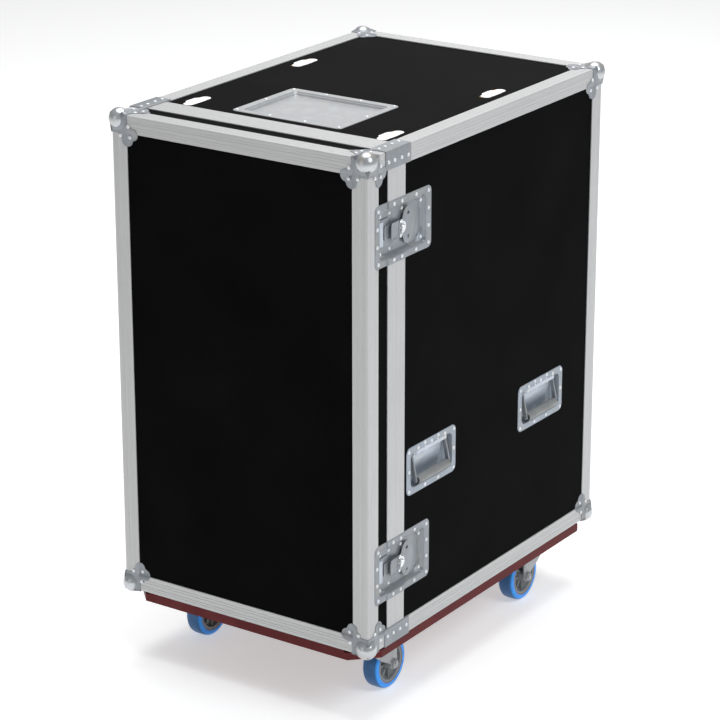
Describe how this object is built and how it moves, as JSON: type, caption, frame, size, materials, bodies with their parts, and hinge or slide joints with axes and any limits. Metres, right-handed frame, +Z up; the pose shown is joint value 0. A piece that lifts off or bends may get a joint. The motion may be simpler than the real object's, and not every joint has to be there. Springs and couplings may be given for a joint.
{
  "type": "rack flight case",
  "caption": "Upright flight case for 19-inch rack gear: black panels in aluminium angles, ball corners, recessed latches and handles, lift-off front lid, board with swivel castors.",
  "frame": {"origin": "on the floor, midway between the sides and between front and rear", "axes": "+Z up, -Y out of the front lid, +X towards the right side seen from the front"},
  "size_m": [0.572, 0.813, 1.0725],
  "materials": {
    "black_laminate_ply": "textured black laminate on birch plywood",
    "anodised_aluminium": "satin anodised extrusion",
    "zinc_steel": "bright zinc plated pressing",
    "rivet_steel": "zinc plated head",
    "blue_tyre": "blue elastic rubber",
    "grey_nylon": "grey nylon",
    "handle_grip": "grey-brown moulded grip",
    "film_faced_ply": "dark red film-faced plywood",
    "raw_ply": "birch plywood",
    "rail_steel": "black powder coat",
    "white_inlay": "white plastic"
  },
  "bodies": {
    "case": {"ball_corners_rear": "zinc_steel", "body_angles": "anodised_aluminium", "body_closure": "anodised_aluminium", "body_rivets": "rivet_steel", "bottom_panel": "black_laminate_ply", "brace_corners_body": "zinc_steel", "castor_board": "film_faced_ply", "castor_bolts": "rivet_steel", "castor_plates": "zinc_steel", "handle_dishes": "zinc_steel", "handle_pivots": "zinc_steel", "label_dish": "zinc_steel", "latch_dishes": "zinc_steel", "rack_rails": "rail_steel", "rail_battens": "raw_ply", "rear_panel": "black_laminate_ply", "side_panel_left": "black_laminate_ply", "side_panel_right": "black_laminate_ply", "stacking_inlays": "white_inlay", "top_panel": "black_laminate_ply"},
    "lid": {"lid_angles": "anodised_aluminium", "lid_closure": "anodised_aluminium", "lid_front_panel": "black_laminate_ply", "lid_rivets": "rivet_steel", "lid_walls": "black_laminate_ply", "ball_corners_front": "zinc_steel", "brace_corners_lid": "zinc_steel", "latch_keepers": "zinc_steel"},
    "latch_turn_lower_right": {"latch_spindle_lower_right": "zinc_steel"},
    "latch_flap_lower_right": {"latch_wing_lower_right": "zinc_steel"},
    "latch_slider_lower_right": {"latch_hook_lower_right": "zinc_steel"},
    "latch_turn_lower_left": {"latch_spindle_lower_left": "zinc_steel"},
    "latch_flap_lower_left": {"latch_wing_lower_left": "zinc_steel"},
    "latch_slider_lower_left": {"latch_hook_lower_left": "zinc_steel"},
    "latch_turn_upper_right": {"latch_spindle_upper_right": "zinc_steel"},
    "latch_flap_upper_right": {"latch_wing_upper_right": "zinc_steel"},
    "latch_slider_upper_right": {"latch_hook_upper_right": "zinc_steel"},
    "latch_turn_upper_left": {"latch_spindle_upper_left": "zinc_steel"},
    "latch_flap_upper_left": {"latch_wing_upper_left": "zinc_steel"},
    "latch_slider_upper_left": {"latch_hook_upper_left": "zinc_steel"},
    "handle_front_right": {"handle_bail_front_right": "zinc_steel", "handle_grip_front_right": "handle_grip"},
    "handle_front_left": {"handle_bail_front_left": "zinc_steel", "handle_grip_front_left": "handle_grip"},
    "handle_rear_right": {"handle_bail_rear_right": "zinc_steel", "handle_grip_rear_right": "handle_grip"},
    "handle_rear_left": {"handle_bail_rear_left": "zinc_steel", "handle_grip_rear_left": "handle_grip"},
    "castor_front_left": {"castor_fork_front_left": "zinc_steel"},
    "wheel_front_left": {"castor_hub_front_left": "grey_nylon", "castor_tyre_front_left": "blue_tyre"},
    "castor_front_right": {"castor_fork_front_right": "zinc_steel"},
    "wheel_front_right": {"castor_hub_front_right": "grey_nylon", "castor_tyre_front_right": "blue_tyre"},
    "castor_rear_left": {"castor_fork_rear_left": "zinc_steel"},
    "wheel_rear_left": {"castor_hub_rear_left": "grey_nylon", "castor_tyre_rear_left": "blue_tyre"},
    "castor_rear_right": {"castor_fork_rear_right": "zinc_steel"},
    "wheel_rear_right": {"castor_hub_rear_right": "grey_nylon", "castor_tyre_rear_right": "blue_tyre"}
  },
  "joints": [
    {"name": "lid_pull_off", "type": "slide", "parent": "case", "child": "lid", "axis": [0, -1, 0], "range_m": [0, 0.25]},
    {"name": "latch_turn_lower_right", "type": "hinge", "parent": "case", "child": "latch_turn_lower_right", "pos_m": [0.2765, -0.286, 0.2845], "axis": [1, 0, 0], "range_deg": [0, 180]},
    {"name": "latch_flap_lower_right", "type": "hinge", "parent": "latch_turn_lower_right", "child": "latch_flap_lower_right", "pos_m": [0.2763, -0.297, 0.2845], "axis": [0, 0, 1], "range_deg": [0, 90]},
    {"name": "latch_hook_lower_right", "type": "slide", "parent": "case", "child": "latch_slider_lower_right", "axis": [0, -1, 0], "range_m": [0, 0.008]},
    {"name": "latch_turn_lower_left", "type": "hinge", "parent": "case", "child": "latch_turn_lower_left", "pos_m": [-0.2765, -0.286, 0.2845], "axis": [-1, 0, 0], "range_deg": [0, 180]},
    {"name": "latch_flap_lower_left", "type": "hinge", "parent": "latch_turn_lower_left", "child": "latch_flap_lower_left", "pos_m": [-0.2763, -0.297, 0.2845], "axis": [0, 0, -1], "range_deg": [0, 90]},
    {"name": "latch_hook_lower_left", "type": "slide", "parent": "case", "child": "latch_slider_lower_left", "axis": [0, -1, 0], "range_m": [0, 0.008]},
    {"name": "latch_turn_upper_right", "type": "hinge", "parent": "case", "child": "latch_turn_upper_right", "pos_m": [0.2765, -0.286, 0.916], "axis": [1, 0, 0], "range_deg": [0, 180]},
    {"name": "latch_flap_upper_right", "type": "hinge", "parent": "latch_turn_upper_right", "child": "latch_flap_upper_right", "pos_m": [0.2763, -0.297, 0.916], "axis": [0, 0, 1], "range_deg": [0, 90]},
    {"name": "latch_hook_upper_right", "type": "slide", "parent": "case", "child": "latch_slider_upper_right", "axis": [0, -1, 0], "range_m": [0, 0.008]},
    {"name": "latch_turn_upper_left", "type": "hinge", "parent": "case", "child": "latch_turn_upper_left", "pos_m": [-0.2765, -0.286, 0.916], "axis": [-1, 0, 0], "range_deg": [0, 180]},
    {"name": "latch_flap_upper_left", "type": "hinge", "parent": "latch_turn_upper_left", "child": "latch_flap_upper_left", "pos_m": [-0.2763, -0.297, 0.916], "axis": [0, 0, -1], "range_deg": [0, 90]},
    {"name": "latch_hook_upper_left", "type": "slide", "parent": "case", "child": "latch_slider_upper_left", "axis": [0, -1, 0], "range_m": [0, 0.008]},
    {"name": "handle_lift_front_right", "type": "hinge", "parent": "case", "child": "handle_front_right", "pos_m": [0.2665, -0.1905, 0.476], "axis": [0, -1, 0], "range_deg": [-10, 77], "stiffness_Nm_per_rad": 0.4, "springref_deg": 1.72},
    {"name": "handle_lift_front_left", "type": "hinge", "parent": "case", "child": "handle_front_left", "pos_m": [-0.2665, -0.1905, 0.476], "axis": [0, 1, 0], "range_deg": [-10, 77], "stiffness_Nm_per_rad": 0.4, "springref_deg": 1.72},
    {"name": "handle_lift_rear_right", "type": "hinge", "parent": "case", "child": "handle_rear_right", "pos_m": [0.2665, 0.1935, 0.476], "axis": [0, -1, 0], "range_deg": [-10, 77], "stiffness_Nm_per_rad": 0.4, "springref_deg": 1.72},
    {"name": "handle_lift_rear_left", "type": "hinge", "parent": "case", "child": "handle_rear_left", "pos_m": [-0.2665, 0.1935, 0.476], "axis": [0, 1, 0], "range_deg": [-10, 77], "stiffness_Nm_per_rad": 0.4, "springref_deg": 1.72},
    {"name": "castor_swivel_front_left", "type": "hinge", "parent": "case", "child": "castor_front_left", "pos_m": [-0.205, -0.277, 0.11], "axis": [0, 0, 1], "continuous": true},
    {"name": "wheel_roll_front_left", "type": "hinge", "parent": "castor_front_left", "child": "wheel_front_left", "pos_m": [-0.205, -0.239, 0.05], "axis": [1, 0, 0], "continuous": true},
    {"name": "castor_swivel_front_right", "type": "hinge", "parent": "case", "child": "castor_front_right", "pos_m": [0.205, -0.277, 0.11], "axis": [0, 0, 1], "continuous": true},
    {"name": "wheel_roll_front_right", "type": "hinge", "parent": "castor_front_right", "child": "wheel_front_right", "pos_m": [0.205, -0.239, 0.05], "axis": [1, 0, 0], "continuous": true},
    {"name": "castor_swivel_rear_left", "type": "hinge", "parent": "case", "child": "castor_rear_left", "pos_m": [-0.205, 0.277, 0.11], "axis": [0, 0, 1], "continuous": true},
    {"name": "wheel_roll_rear_left", "type": "hinge", "parent": "castor_rear_left", "child": "wheel_rear_left", "pos_m": [-0.205, 0.239, 0.05], "axis": [1, 0, 0], "continuous": true},
    {"name": "castor_swivel_rear_right", "type": "hinge", "parent": "case", "child": "castor_rear_right", "pos_m": [0.205, 0.277, 0.11], "axis": [0, 0, 1], "continuous": true},
    {"name": "wheel_roll_rear_right", "type": "hinge", "parent": "castor_rear_right", "child": "wheel_rear_right", "pos_m": [0.205, 0.239, 0.05], "axis": [1, 0, 0], "continuous": true}
  ],
  "couplings": [
    {"joint": "latch_hook_lower_right", "follows": "latch_turn_lower_right", "m_per_rad": 0.0025},
    {"joint": "latch_hook_lower_left", "follows": "latch_turn_lower_left", "m_per_rad": 0.0025},
    {"joint": "latch_hook_upper_right", "follows": "latch_turn_upper_right", "m_per_rad": 0.0025},
    {"joint": "latch_hook_upper_left", "follows": "latch_turn_upper_left", "m_per_rad": 0.0025}
  ]
}
